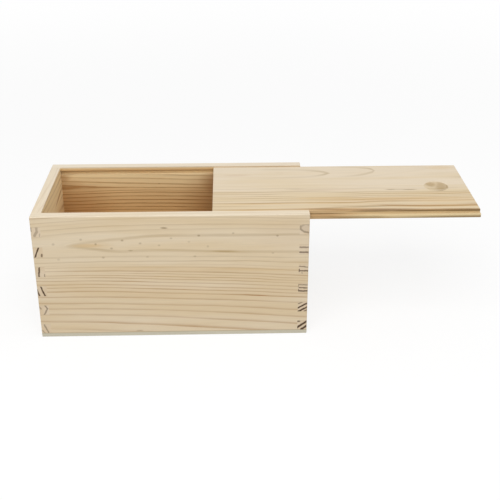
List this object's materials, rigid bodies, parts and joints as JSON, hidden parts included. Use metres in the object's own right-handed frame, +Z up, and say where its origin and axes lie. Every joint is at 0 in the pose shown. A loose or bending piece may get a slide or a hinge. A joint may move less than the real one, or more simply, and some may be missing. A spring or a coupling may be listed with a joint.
{
  "type": "sliding lid box",
  "caption": "Finger-jointed pine box with a board lid that slides in grooves, a thumb recess in the lid, and a pinned base; lid drawn partly out at rest.",
  "frame": {"origin": "centre of the underside of the box (the box without its drawn-out lid), on the surface it stands on", "axes": "+X is the way the lid slides out, along the box's length; +Y towards the back; +Z up"},
  "size_m": [0.406, 0.125, 0.125],
  "materials": {
    "pine_side": "bare sanded pine, flat-sawn, straight grain with fine brown lines",
    "pine_end": "bare sanded pine",
    "pine_lid": "bare sanded pine, paler",
    "base_plywood": "thin pale plywood, bare",
    "brad_steel": "plain wire nails"
  },
  "bodies": {
    "box": {"front_side": "pine_side", "back_side": "pine_side", "closed_end": "pine_end", "open_end": "pine_end", "bottom_board": "base_plywood", "bottom_brads": "brad_steel"},
    "lid": {"sliding_lid": "pine_lid"}
  },
  "joints": [
    {"name": "lid_slide", "type": "slide", "parent": "box", "child": "lid", "axis": [1, 0, 0], "range_m": [-0.153, 0.0826]}
  ]
}
